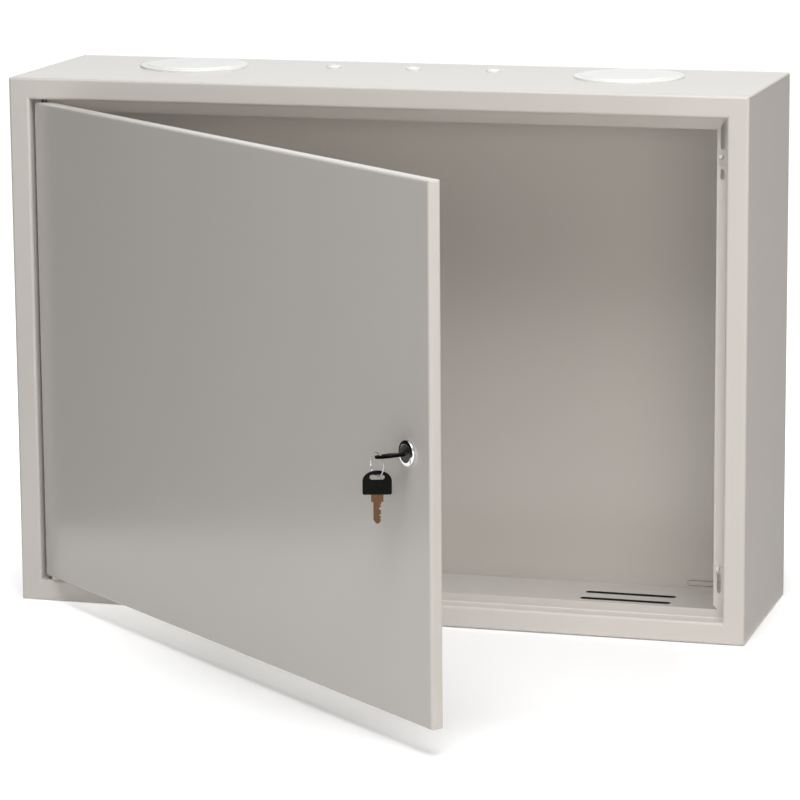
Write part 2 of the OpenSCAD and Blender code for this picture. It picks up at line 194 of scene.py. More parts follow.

# %% [markdown]
# ## Powder coat
# The steel is sprayed with charged powder and baked, which leaves a tough semi-gloss skin with a very fine
# orange peel. Fine noise bumps the surface for the peel, and a wide faint cloud keeps large faces from
# looking flat. A low index of refraction gives the soft gloss of baked powder and not that of wet paint.
# The walls of the narrow vents get painted shade: their colour is darkened nearly to black. They are found
# by where they lie in the floor and by facing sideways.

# %% Powder coat
VENTS_X, VENTS_Y, VENTS_Z = (-0.30, 0.30), (-0.08, -0.03), (floor_z, floor_z + SHEET * MM)
SIDEWAYS = (-0.5, 0.5)            # how far up or down a wall may face
PAINTED_VENT_SHADE = 0.05                 # painted shade: what is left of the coat's colour on a vent's walls
_, tree, shader, place = new_material("powder_coat")
cloud = noise(tree, place, 2.5, 1.0)
coat = tint(tree, cloud, (0.622, 0.594, 0.563), (0.638, 0.610, 0.579))
normal = tree.nodes.new("ShaderNodeTexCoord").outputs["Normal"]
# painted shade: a mask of the vents' side walls, where the coat's colour is darkened
painted_vent_shade_mask = between(tree, separate(tree, normal)[2], *SIDEWAYS)
for value, limits in zip(separate(tree, place), (VENTS_X, VENTS_Y, VENTS_Z)):
    painted_vent_shade_mask = maths(tree, "MULTIPLY", painted_vent_shade_mask, between(tree, value, *limits))
shaded = add(tree, "ShaderNodeVectorMath", **{"0": coat, "1": spread(tree, painted_vent_shade_mask, 1.0, PAINTED_VENT_SHADE)})
shaded.operation = "MULTIPLY"
plug_in(tree, shader, "Base Color", shaded.outputs[0])
plug_in(tree, shader, "Roughness", spread(tree, noise(tree, place, 9.0, 1.0), 0.19, 0.23))
plug_in(tree, shader, "Normal", bump(tree, noise(tree, place, 330.0, 1.0), 0.10, depth=0.00006))
plug_in(tree, shader, "IOR", 1.4)
print("powder coat ready")

# %% [markdown]
# ## Metals
# Chrome, zinc, nickel and brass share one recipe: a metallic shader whose roughness wanders a little, with
# fine marks left by machining or handling. The marks on a key's blade run along it.

# %% Metals
def metal(name, dark, light, rough, marks, strength, stretch=(1, 1, 1)):
    """A metal whose colour and roughness vary a little; stretch draws its marks out along an axis."""
    made, tree, shader, place = new_material(name)
    mapping = add(tree, "ShaderNodeMapping", Vector=place, Scale=stretch)
    grain = noise(tree, mapping.outputs["Vector"], marks, 4.0, 0.6)
    plug_in(tree, shader, "Base Color", tint(tree, grain, dark, light))
    plug_in(tree, shader, "Roughness", spread(tree, grain, *rough))
    plug_in(tree, shader, "Normal", bump(tree, grain, strength))
    plug_in(tree, shader, "Metallic", 1.0)
    return made


lock_chrome = metal("lock_chrome", (0.62, 0.62, 0.63), (0.72, 0.72, 0.73), (0.08, 0.16), 500.0, 0.05)
zinc_steel = metal("zinc_steel", (0.50, 0.51, 0.52), (0.62, 0.63, 0.64), (0.28, 0.42), 900.0, 0.15)
metal("black_steel", (0.05, 0.05, 0.055), (0.09, 0.09, 0.095), (0.35, 0.5), 900.0, 0.15)
metal("plug_metal", (0.20, 0.20, 0.20), (0.32, 0.32, 0.32), (0.25, 0.38), 1200.0, 0.1)
metal("key_brass", (0.055, 0.030, 0.018), (0.110, 0.062, 0.036), (0.25, 0.42), 1500.0, 0.2,
      stretch=(1, 1, 0.12))
ring_steel = metal("ring_steel", (0.50, 0.50, 0.51), (0.60, 0.60, 0.61), (0.12, 0.22), 900.0, 0.05)
print("metals ready")

# %% [markdown]
# ## Plastics and rubber
# The plugs are white moulded plastic, the bows black, the washer nylon and the buffers soft and pale.
# Moulded plastic shows the fine grain of its tool and nearly no colour change. The bows' gloss is held
# back, so that they stay black in a white studio.

# %% Plastics
def plastic(name, dark, light, rough, grain_scale, strength):
    """A moulded plastic with a fine tool grain."""
    made, tree, shader, place = new_material(name)
    plug_in(tree, shader, "Base Color", tint(tree, noise(tree, place, 60.0), dark, light))
    plug_in(tree, shader, "Roughness", spread(tree, noise(tree, place, 200.0), *rough))
    plug_in(tree, shader, "Normal", bump(tree, noise(tree, place, grain_scale, 3.0), strength))
    return made


white_plastic = plastic("white_plastic", (0.80, 0.80, 0.78), (0.86, 0.86, 0.84), (0.32, 0.42), 1500.0, 0.08)
bow_plastic = plastic("bow_plastic", (0.003,) * 3, (0.006,) * 3, (0.38, 0.50), 2500.0, 0.15)
bow_shader = bow_plastic.node_tree.nodes["Principled BSDF"]
bow_shader.inputs["IOR"].default_value = 1.32
bow_shader.inputs["Specular IOR Level"].default_value = 0.1
plastic("nylon", (0.70, 0.68, 0.60), (0.76, 0.74, 0.66), (0.40, 0.50), 1500.0, 0.08)
plastic("buffer_rubber", (0.66, 0.66, 0.64), (0.72, 0.72, 0.70), (0.55, 0.68), 1200.0, 0.12)
print("plastics ready")

# %% [markdown]
# ## Finish the construction
# Each node of the frame names a finish in the record. The same names are used for the materials here, so a
# table in the record decides which part gets which.

# %% Assign the finishes
for name, node in nodes.items():
    for slot in node.material_slots:
        slot.material = bpy.data.materials[slot.material.name.removeprefix("plain_")]
print("finishes:", ", ".join(m["slot"] for m in record["materials"]))

# %% [markdown]
# ## Measuring the frame
# Small parts have to sit exactly where the construction has them. The lock's axis comes from its joint, and
# every size of a part is measured on its node, along the axis and away from it.

# %% Measuring helpers
UP = Vector((0, 0, 1))


def points_of(node):
    """The corners of a node's mesh, in metres."""
    return [v.co.copy() for v in nodes[node].data.vertices]


def span(node, direction, origin=Vector((0, 0, 0))):
    """How far a node reaches along a direction, least and most, from an origin."""
    along = [(p - origin).dot(direction) for p in points_of(node)]
    return min(along), max(along)


def frame_at(origin, across, rise, out):
    """A local frame with its X, Y and Z along three directions."""
    made = Matrix.Identity(4)
    for column, vector in enumerate((across, rise, out, origin)):
        made.col[column] = (*vector, 1 if column == 3 else 0)
    return made


lock_joint = next(j for j in frame["joints"] if j["name"] == "lock_turn")
OUT = Vector(lock_joint["axis"])
ALONG = UP.cross(OUT)
on_axis = Vector(lock_joint["pos_m"])
face = span("door_panel", OUT, on_axis)[1]
LOCK = frame_at(on_axis + face * OUT, ALONG, UP, OUT)
LOCK_BACK = LOCK.inverted()


def local_points(node):
    """A node's corners in the lock's own frame, with Z straight out of the door's face."""
    return [LOCK_BACK @ p for p in points_of(node)]


def radius_between(node, low, high, pick=max):
    """The largest or least distance from the lock's axis of a node's corners between two heights."""
    return pick(math.hypot(p.x, p.y) for p in local_points(node) if low <= p.z <= high)


print("lock at", [round(c, 4) for c in LOCK.translation])

# %% [markdown]
# ## Turning a piece on a lathe
# Lock bodies, plugs and washers are turned or moulded round. A profile in millimetres, as pairs of radius
# and height, is spun into a closed body. Corners are rounded in the profile itself, which is how a lathe
# tool or a mould leaves them.

# %% Lathe helpers
def rounded(corner, before, after, radius, steps=5):
    """Points of an arc that rounds one corner of a profile."""
    corner, before, after = (Vector(p) for p in (corner, before, after))
    one, two = (before - corner).normalized(), (after - corner).normalized()
    half_angle = one.angle(two) / 2
    centre = corner + (one + two).normalized() * radius / math.sin(half_angle)
    start = corner + one * radius / math.tan(half_angle) - centre
    end = corner + two * radius / math.tan(half_angle) - centre
    sweep_angle = start.angle_signed(end)
    return [tuple(centre + Matrix.Rotation(-sweep_angle * k / steps, 2) @ start) for k in range(steps + 1)]


def soften(profile, radii):
    """Rounds the corners of a closed profile that radii names by their index."""
    made = []
    for i, corner in enumerate(profile):
        if i in radii:
            made += rounded(corner, profile[i - 1], profile[(i + 1) % len(profile)], radii[i])
        else:
            made.append(tuple(corner))
    return made


def spin(name, profile, steps, material):
    """Spins a closed profile round Z; points on the axis share one corner."""
    bm = bmesh.new()
    rings = []
    for r, z in profile:
        if r < 1e-6:
            rings.append([bm.verts.new((0, 0, z * MM))] * steps)
        else:
            rings.append([bm.verts.new((r * MM * math.cos(2 * math.pi * k / steps),
                                        r * MM * math.sin(2 * math.pi * k / steps), z * MM))
                          for k in range(steps)])
    for i, ring in enumerate(rings):
        above = rings[(i + 1) % len(rings)]
        for k in range(steps):
            corners = []
            for v in (ring[k], ring[(k + 1) % steps], above[(k + 1) % steps], above[k]):
                if v not in corners:
                    corners.append(v)
            if len(corners) > 2:
                bm.faces.new(corners)
    bmesh.ops.recalc_face_normals(bm, faces=bm.faces)
    for f in bm.faces:
        f.smooth = True
    return to_piece(name, bm, material)


def to_piece(name, bm, material):
    """Turns a bmesh into an object of the scene."""
    mesh = bpy.data.meshes.new(name)
    bm.to_mesh(mesh)
    bm.free()
    mesh.materials.append(material)
    made = bpy.data.objects.new(name, mesh)
    scene.collection.objects.link(made)
    return made


def sharpen(made, degrees=35):
    """Keeps the edges sharp that turn by more than an angle, and the rest smooth."""
    made.data.set_sharp_from_angle(angle=math.radians(degrees))
    return made


def smooth(made):
    """Shades every face of an object smooth."""
    for polygon in made.data.polygons:
        polygon.use_smooth = True


print("lathe helpers ready")

# %% [markdown]
# ## Geometry Nodes in a script
# What repeats or follows a rule, such as a thread or a row of teeth, is made by a tree of nodes. The tree
# has named inputs, and each object sets them by the socket's own identifier. The result is kept as a plain
# mesh, so that nothing depends on a live modifier.

# %% Node tree helpers
def new_tree(name, **inputs):
    """A geometry tree with a geometry input, number inputs and a geometry output."""
    tree = bpy.data.node_groups.new(name, "GeometryNodeTree")
    tree.interface.new_socket("Geometry", in_out="INPUT", socket_type="NodeSocketGeometry")
    for key, value in inputs.items():
        kind = "NodeSocketInt" if isinstance(value, int) else "NodeSocketFloat"
        socket = tree.interface.new_socket(key.replace("_", " "), in_out="INPUT", socket_type=kind)
        socket.default_value = value
    tree.interface.new_socket("Geometry", in_out="OUTPUT", socket_type="NodeSocketGeometry")
    return tree, tree.nodes.new("NodeGroupInput").outputs


def position_in(tree):
    """The three values of each point's position."""
    return separate(tree, tree.nodes.new("GeometryNodeInputPosition").outputs[0])


def instances(tree, points, piece, rotation=(0, 0, 0)):
    """A piece set out on points."""
    made = add(tree, "GeometryNodeInstanceOnPoints", Points=points, Instance=piece, Rotation=rotation)
    return made.outputs[0]


def join(tree, *parts):
    """Several geometries as one."""
    made = tree.nodes.new("GeometryNodeJoinGeometry")
    for part in parts:
        tree.links.new(part, made.inputs[0])
    return made.outputs[0]


def transform(tree, geometry, **change):
    """Geometry moved by a Translation, turned by a Rotation, or both."""
    return add(tree, "GeometryNodeTransform", Geometry=geometry, **change).outputs[0]


def close_tree(tree, geometry, material):
    """Ends a tree in real geometry with its material."""
    real = add(tree, "GeometryNodeRealizeInstances", Geometry=geometry).outputs[0]
    finished = add(tree, "GeometryNodeSetMaterial", Geometry=real, Material=material).outputs[0]
    tree.links.new(finished, tree.nodes.new("NodeGroupOutput").inputs[0])


def run_tree(made, tree, place, **values):
    """Runs a tree on an object, moves the result into place and keeps it as a plain mesh."""
    modifier = made.modifiers.new(tree.name, "NODES")
    modifier.node_group = tree
    for socket in tree.interface.items_tree:
        if socket.in_out == "INPUT" and socket.name.replace(" ", "_") in values:
            modifier[socket.identifier] = values[socket.name.replace(" ", "_")]
    seen = made.evaluated_get(bpy.context.evaluated_depsgraph_get())
    mesh = bpy.data.meshes.new_from_object(seen)
    made.modifiers.clear()
    mesh.transform(place)
    mesh.name = made.name
    made.data = mesh
    return made


def empty_mesh(name):
    """An object with nothing in it, for a tree that makes its own geometry."""
    made = bpy.data.objects.new(name, bpy.data.meshes.new(name))
    scene.collection.objects.link(made)
    return made


print("node tree helpers ready")

# %% [markdown]
# ## The lock body
# A cam lock is a turned and chromed barrel with a domed head. Two flats keep it from turning in the door,
# and a nut runs on its thread. The barrel is spun with many close rings, and a tree then presses the thread
# into them: how deep a point goes depends on its height and its angle, which is what makes a helix. The
# head is left round by moving the flats a metre out there.

# %% Thread tree
thread_tree, given = new_tree("barrel_thread", Pitch=0.0015, Depth=0.0006, Start=-0.018, End=-0.002,
                              Least_Radius=0.008, Flat=0.008)
do = partial(maths, thread_tree)
x, y, z = position_in(thread_tree)
radius = do("SQRT", do("ADD", do("MULTIPLY", x, x), do("MULTIPLY", y, y)))
turns = do("DIVIDE", do("ARCTAN2", y, x), 2 * math.pi)
pitches = do("DIVIDE", z, given["Pitch"])
phase = do("FRACT", do("SUBTRACT", pitches, turns))
ramp = do("ABSOLUTE", do("MULTIPLY_ADD", phase, 2.0, -1.0))
threaded_part = do("MULTIPLY", between(thread_tree, z, given["Start"], given["End"]),
                   do("GREATER_THAN", radius, given["Least Radius"]))
cut = do("MULTIPLY", do("MULTIPLY", ramp, given["Depth"]), threaded_part)
shrink = do("SUBTRACT", 1.0, do("DIVIDE", cut, radius))
in_head = do("GREATER_THAN", z, -0.00001)
flat = do("ADD", given["Flat"], in_head)
narrowed = do("MAXIMUM", do("MULTIPLY", x, shrink), do("MULTIPLY", flat, -1.0))
moved = combine(thread_tree, do("MINIMUM", narrowed, flat), do("MULTIPLY", y, shrink), z)
threaded = add(thread_tree, "GeometryNodeSetPosition", Geometry=given["Geometry"], Position=moved)
close_tree(thread_tree, threaded.outputs[0], lock_chrome)
print("thread tree:", len(thread_tree.nodes), "nodes")

# %% Lock body
BEHIND_HEAD = -0.004              # in metres; from here back the lock body is all barrel
CLEARANCE = 0.02                  # in millimetres, as all below; keeps the body off the cylinder inside it
FIRST_RING, RING_STEP = 0.05, 0.15    # rings of corners, set close to carry the thread
THREAD_END = 0.2                  # how near the thread comes to the head
THREAD_SKIN = 0.2                 # corners this near the barrel's outside are pressed in
PLAIN_END, END_CHAMFER = 0.7, 0.6
DOME, DOME_EDGE, SEAT_EDGE = 0.9, 1.2, 0.25
SAME = 0.03                       # corners this close share a height or a radius
low, high = (c / MM for c in span("lock_body", OUT, LOCK.translation))
head_r = radius_between("lock_body", 0.0, high * MM) / MM
barrel_r = radius_between("lock_body", low * MM, BEHIND_HEAD) / MM
bore_r = radius_between("lock_body", low * MM, BEHIND_HEAD, min) / MM
corners = [(math.hypot(p.x, p.y) / MM, p.z / MM) for p in local_points("lock_body")]
seat_r = min(round(r, 2) for r, z in corners if abs(z - high) < SAME)
seat_z = min(z for r, z in corners if abs(r - seat_r) < SAME)
flat_x = max(p.x for p in local_points("lock_body") if p.z < BEHIND_HEAD)
seat_r += CLEARANCE
seat_z -= CLEARANCE
bore_r += CLEARANCE
head = soften([(bore_r, seat_z), (seat_r, seat_z), (seat_r, high), (head_r, high - DOME), (head_r, 0)],
              {2: SEAT_EDGE, 3: DOME_EDGE})
barrel = [(barrel_r, -FIRST_RING - RING_STEP * k) for k in range(int((-low - PLAIN_END) / RING_STEP))]
tail = [(barrel_r, low + END_CHAMFER), (barrel_r - END_CHAMFER, low), (bore_r, low)]
lock = spin("lock_cylinder", head + barrel + tail, 96, lock_chrome)
run_tree(lock, thread_tree, LOCK, Start=(low + PLAIN_END) * MM, End=-THREAD_END * MM,
         Least_Radius=(barrel_r - THREAD_SKIN) * MM, Flat=flat_x)
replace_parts(sharpen(lock), "lock_body")
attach(lock, "door")
print("lock body: head", round(2 * head_r, 1), "mm, barrel", round(2 * barrel_r, 1), "mm")

# %% [markdown]
# ## The tooth washer and the nut
# A toothed washer bites into the steel so that the lock can't work loose, and a flat nut with chamfered
# corners clamps it. The washer is a ring with one twisted tooth set out round it by a tree. The nut's
# corners are cut by the same cone all round, so its edge drops where the hexagon reaches further out.

# %% Tooth tree
ROOTED = 0.993                    # sets the teeth a little inward, so that each one starts in the ring
tooth_tree, given = new_tree("washer_teeth", Teeth=18, Neck=0.0103, Outer=0.012, Width=0.0018,
                             Thickness=0.0004, Twist=0.35)
do = partial(maths, tooth_tree)
middle_r = do("MULTIPLY", do("ADD", given["Neck"], given["Outer"]), 0.5 * ROOTED)
circle = add(tooth_tree, "GeometryNodeMeshCircle", Vertices=given["Teeth"], Radius=middle_r).outputs[0]
reach = do("SUBTRACT", given["Outer"], given["Neck"])
size = combine(tooth_tree, reach, given["Width"], given["Thickness"])
tooth = add(tooth_tree, "GeometryNodeMeshCube", Size=size).outputs[0]
x, y, z = position_in(tooth_tree)
turn = combine(tooth_tree, given["Twist"], 0.0, do("ARCTAN2", y, x))
teeth = instances(tooth_tree, circle, tooth, turn)
close_tree(tooth_tree, join(tooth_tree, given["Geometry"], teeth), zinc_steel)
print("tooth tree:", len(tooth_tree.nodes), "nodes")

# %% Tooth washer
TOOTH_REACH, OVERLAP, HALF_THICK = 1.6, 0.2, 0.2      # in millimetres
near, far = span("lock_washer", OUT, LOCK.translation)
washer_r = radius_between("lock_washer", near, far) / MM
hole_r = radius_between("lock_washer", near, far, min) / MM
neck_r = washer_r - TOOTH_REACH
ring = [(hole_r, -HALF_THICK), (neck_r, -HALF_THICK), (neck_r, HALF_THICK), (hole_r, HALF_THICK)]
washer = spin("tooth_washer", ring, 72, zinc_steel)
run_tree(washer, tooth_tree, LOCK @ Matrix.Translation((0, 0, (near + far) / 2)),
         Neck=(neck_r - OVERLAP) * MM, Outer=washer_r * MM)
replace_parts(sharpen(washer), "lock_washer")
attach(washer, "door")
print("tooth washer:", round(2 * washer_r, 1), "mm over the teeth")

# %% Nut
NUT_STEPS = 96
BORE_CHAMFER, CORNER_CHAMFER = 0.3, 0.4    # in millimetres, as the next
CORNER_ZONE = 0.1                 # what lies this near the widest radius is a corner
CONE = math.radians(28)
near, far = (c / MM for c in span("lock_nut", OUT, LOCK.translation))
corner_r = radius_between("lock_nut", near * MM, far * MM) / MM
hole_r = radius_between("lock_nut", near * MM, far * MM, min) / MM
flats_half = corner_r * math.cos(math.radians(30))


def nut_section(angle):
    """The nut's section at an angle, as radius and height; its outer edges drop along a cone."""
    round_r = flats_half - CORNER_CHAMFER
    reach = flats_half / math.cos(angle % (math.pi / 3) - math.pi / 6)
    drop = (reach - round_r) * math.tan(CONE)
    return [(hole_r, near + BORE_CHAMFER), (hole_r + BORE_CHAMFER, near), (round_r, near),
            (reach, near + drop), (reach, far - drop),
            (round_r, far), (hole_r + BORE_CHAMFER, far), (hole_r, far - BORE_CHAMFER)]


bm = bmesh.new()
sections = []
for k in range(NUT_STEPS):
    angle = 2 * math.pi * k / NUT_STEPS
    sections.append([bm.verts.new((r * MM * math.cos(angle), r * MM * math.sin(angle), z * MM))
                     for r, z in nut_section(angle)])
for k, section in enumerate(sections):
    beside = sections[(k + 1) % NUT_STEPS]
    for i in range(len(section)):
        after = (i + 1) % len(section)
        bm.faces.new((section[i], beside[i], beside[after], section[after]))
bmesh.ops.recalc_face_normals(bm, faces=bm.faces)
first_corner = min(math.atan2(p.y, p.x) % (math.pi / 3) for p in local_points("lock_nut")
                   if math.hypot(p.x, p.y) > (corner_r - CORNER_ZONE) * MM)
bm.transform(LOCK @ Matrix.Rotation(first_corner, 4, "Z"))
nut = sharpen(to_piece("lock_flat_nut", bm, zinc_steel), 12)
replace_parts(nut, "lock_nut")
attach(nut, "door")
print("nut:", round(2 * flats_half, 1), "mm across its flats")

# %% [markdown]
# ## The split ring
# A key ring is spring wire wound nearly twice, so that a key can be worked in between the turns. Both turns
# lie flat, side by side, and the wire crosses from one to the other in a short step beside its two ends.
# The tree winds a flat spiral, lifts it by that step, and runs a round wire along it.

# %% Split ring
ring_tree, given = new_tree("split_ring_wire", Turns=1.88, Radius=0.0093, Wire=0.0003, Lift=0.0006,
                            Step=0.026)
do = partial(maths, ring_tree)
spiral = add(ring_tree, "GeometryNodeCurveSpiral", Resolution=96, Rotations=given["Turns"], Height=0.0,
             Start_Radius=given["Radius"], End_Radius=given["Radius"])
wire = add(ring_tree, "GeometryNodeCurvePrimitiveCircle", Resolution=14, Radius=given["Wire"])
along = ring_tree.nodes.new("GeometryNodeSplineParameter").outputs["Factor"]
crossing = add(ring_tree, "ShaderNodeMapRange", Value=along,
               From_Min=do("SUBTRACT", 0.5, given["Step"]), From_Max=do("ADD", 0.5, given["Step"]),
               To_Min=do("MULTIPLY", given["Lift"], -0.5), To_Max=do("MULTIPLY", given["Lift"], 0.5))
crossing.interpolation_type = "SMOOTHSTEP"
lifted = add(ring_tree, "GeometryNodeSetPosition", Geometry=spiral.outputs[0],
             Offset=combine(ring_tree, z=crossing.outputs["Result"]))
swept = add(ring_tree, "GeometryNodeCurveToMesh", Curve=lifted.outputs[0], Profile_Curve=wire.outputs[0],
            Fill_Caps=True)
close_tree(ring_tree, swept.outputs[0], ring_steel)

SLIM = 0.98                       # keeps the two turns from touching
across = span("key_ring", ALONG)
upward = span("key_ring", UP)
outward = span("key_ring", OUT)
centre = sum(across) / 2 * ALONG + sum(upward) / 2 * UP + sum(outward) / 2 * OUT
wire_r = (outward[1] - outward[0]) / 2
turn_r = (upward[1] - upward[0]) / 2 - wire_r
split_ring = run_tree(empty_mesh("split_ring"), ring_tree, frame_at(centre, ALONG, UP, OUT),
                      Radius=turn_r + wire_r / 2, Wire=wire_r / 2 * SLIM, Lift=wire_r)
smooth(split_ring)
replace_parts(sharpen(split_ring, 50), "key_ring")
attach(split_ring, "ring")
print("split ring:", round(2 * (turn_r + wire_r) / MM, 1), "mm across")

# %% [markdown]
# ## The key bows
# The bows are black plastic moulded round the root of the brass blade. Each has a smooth raised rim, a
# thinner web inside it, a slot for the ring with a collar round it, and a few grip ribs. Flat curves with a
# round bevel make the rim, the web and the collar, because a curve rounds every edge evenly, and a tree
# sets out the ribs.

# %% Bow helpers
ARCH, ARCH_STEPS = 9.0, 32        # height of the arch over a bow, in millimetres, and its steps


def thin_direction(node):
    """The direction square to the broadest face of a flat part."""
    return max(nodes[node].data.polygons, key=lambda polygon: polygon.area).normal.normalized()


def bow_outline(width, height, inset, corner):
    """The outline of a bow: square at the foot with rounded corners, and half an ellipse over the top."""
    half_w = width / 2 - inset
    arch = []
    for k in range(ARCH_STEPS + 1):
        angle = math.pi * k / ARCH_STEPS
        arch.append((half_w * math.cos(angle), height - ARCH + (ARCH - inset) * math.sin(angle)))
    left_foot, right_foot = (-half_w, inset), (half_w, inset)
    return (arch + rounded(left_foot, arch[-1], right_foot, corner)
            + rounded(right_foot, left_foot, arch[0], corner))


def stadium(width, height, y):
    """A slot with round ends, run backwards so that it cuts a hole."""
    r = height / 2
    right = []
    for k in range(13):
        angle = math.radians(90 - 15 * k)
        right.append((width / 2 - r + r * math.cos(angle), y + r * math.sin(angle)))
    return right + [(-px, 2 * y - py) for px, py in right]


def flat_moulding(name, outlines, thickness, edge):
    """A plate with outlines and holes in millimetres, with every edge rounded by a bevel."""
    curve = bpy.data.curves.new(name, "CURVE")
    curve.dimensions = "2D"
    curve.fill_mode = "BOTH"
    curve.extrude = (thickness / 2 - edge) * MM
    curve.bevel_depth = edge * MM
    curve.bevel_resolution = 3
    curve.offset = -edge * MM
    for outline in outlines:
        path = curve.splines.new("POLY")
        path.points.add(len(outline) - 1)
        for point, (px, py) in zip(path.points, outline):
            point.co = (px * MM, py * MM, 0, 1)
        path.use_cyclic_u = True
    made = bpy.data.objects.new(name, curve)
    scene.collection.objects.link(made)
    mesh = bpy.data.meshes.new_from_object(made.evaluated_get(bpy.context.evaluated_depsgraph_get()))
    bpy.data.objects.remove(made)
    return mesh


print("bow helpers ready")

# %% Rib tree
rib_tree, given = new_tree("bow_ribs", Ribs=5, Spacing=0.0022, Length=0.008, Width=0.0008, Level=0.0009,
                           Foot=0.0035)
line = add(rib_tree, "GeometryNodeMeshLine", Count=given["Ribs"],
           Start_Location=combine(rib_tree, 0.0, given["Foot"], given["Level"]),
           Offset=combine(rib_tree, y=given["Spacing"])).outputs[0]
half_width = maths(rib_tree, "MULTIPLY", given["Width"], 0.5)
bar = add(rib_tree, "GeometryNodeMeshCylinder", Vertices=12, Radius=half_width, Depth=given["Length"])
lying = transform(rib_tree, bar.outputs[0], Rotation=(0, math.pi / 2, 0))
front = instances(rib_tree, line, lying)
behind = transform(rib_tree, front, Rotation=(0, math.pi, 0))
close_tree(rib_tree, join(rib_tree, given["Geometry"], front, behind), bow_plastic)
print("rib tree:", len(rib_tree.nodes), "nodes")

# %% Bows
RIM, RIM_EDGE, WEB_EDGE, COLLAR_EDGE = 1.7, 0.55, 0.4, 0.5      # in millimetres, as the next two lines
OUTER_CORNER, INNER_CORNER = 1.6, 1.2
EYE, COLLAR, EYE_DROP = (12.4, 4.2), (15.2, 7.0), 5.6
WEB_SHARE = 0.9                   # thickness of the web beside that of the rim
RIB_LENGTH, RIB_LEVEL = 0.62, 0.36    # shares of the bow's width and thickness


def bow(name, node, rise, body):
    """A moulded bow in the place of a node, rising from its blade."""
    thin = thin_direction(node)
    wide = rise.cross(thin)
    (t0, t1), (w0, w1), (r0, r1) = (span(node, d) for d in (thin, wide, rise))
    place = frame_at((t0 + t1) / 2 * thin + (w0 + w1) / 2 * wide + r0 * rise, wide, rise, thin)
    width, height, thickness = (w1 - w0) / MM, (r1 - r0) / MM, (t1 - t0) / MM
    outside = bow_outline(width, height, 0.0, OUTER_CORNER)
    inside = bow_outline(width, height, RIM, INNER_CORNER)
    eye = stadium(*EYE, height - EYE_DROP)
    collar = stadium(*COLLAR, height - EYE_DROP)
    bm = bmesh.new()
    bm.from_mesh(flat_moulding(name, [outside, inside[::-1]], thickness, RIM_EDGE))
    bm.from_mesh(flat_moulding(name, [outside, eye], thickness * WEB_SHARE, WEB_EDGE))
    bm.from_mesh(flat_moulding(name, [collar[::-1], eye], thickness, COLLAR_EDGE))
    made = to_piece(name, bm, bow_plastic)
    run_tree(made, rib_tree, place, Length=RIB_LENGTH * width * MM, Level=RIB_LEVEL * thickness * MM,
             Spacing=0.0021, Foot=0.0026, Ribs=4)
    smooth(made)
    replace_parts(sharpen(made, 40), node)
    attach(made, body)
    print(name, round(width, 1), "by", round(height, 1), "by", round(thickness, 1), "mm")


bow("key_bow_moulding", "key_bow", OUT, "key")
bow("spare_bow_moulding", "spare_bow", UP, "spare_key")

# %% [markdown]
# ## The white plugs
# Each knock-out in the top is closed by a moulded plug: a low cap with a rounded edge and a shallow step,
# and a skirt under it. Small lugs round the skirt snap under the sheet. The cap and skirt are spun as one
# body and a tree sets the lugs round it.

# %% Lug tree
TAPER = 0.8                       # share of its reach that a lug loses at its foot
lug_tree, given = new_tree("snap_lugs", Lugs=8, Radius=0.048, Level=-0.003, Width=0.006, Reach=0.0014,
                           Drop=0.003)
do = partial(maths, lug_tree)
circle = add(lug_tree, "GeometryNodeMeshCircle", Vertices=given["Lugs"], Radius=given["Radius"]).outputs[0]
size = combine(lug_tree, given["Reach"], given["Width"], given["Drop"])
block = add(lug_tree, "GeometryNodeMeshCube", Size=size).outputs[0]
x, y, z = position_in(lug_tree)
low_outside = do("MULTIPLY", do("LESS_THAN", z, 0.0), do("GREATER_THAN", x, 0.0))
inward = do("MULTIPLY", low_outside, do("MULTIPLY", given["Reach"], -TAPER))
lug = add(lug_tree, "GeometryNodeSetPosition", Geometry=block, Offset=combine(lug_tree, inward)).outputs[0]
set_out = instances(lug_tree, circle, lug, combine(lug_tree, z=do("ARCTAN2", y, x)))
lowered = transform(lug_tree, set_out, Translation=combine(lug_tree, z=given["Level"]))
close_tree(lug_tree, join(lug_tree, given["Geometry"], lowered), white_plastic)
print("lug tree:", len(lug_tree.nodes), "nodes")

# %% Plugs
RIM_SHARE = 0.7                   # height of a plug's rim beside that of its middle
RIM_ROUND = 0.8                   # radius of the rim's edge beside its height
LEAD_IN, LEAD_IN_STEP = 0.8, 0.6  # the slope at the foot of a skirt, up and in, in millimetres
LUG_GAP, LUG_REACH, LUG_ROOT = 0.15, 1.4, 0.1         # in millimetres
LUG_WIDTH, LUG_HEIGHT = 0.14, 0.55    # shares of the skirt's radius and of its free height


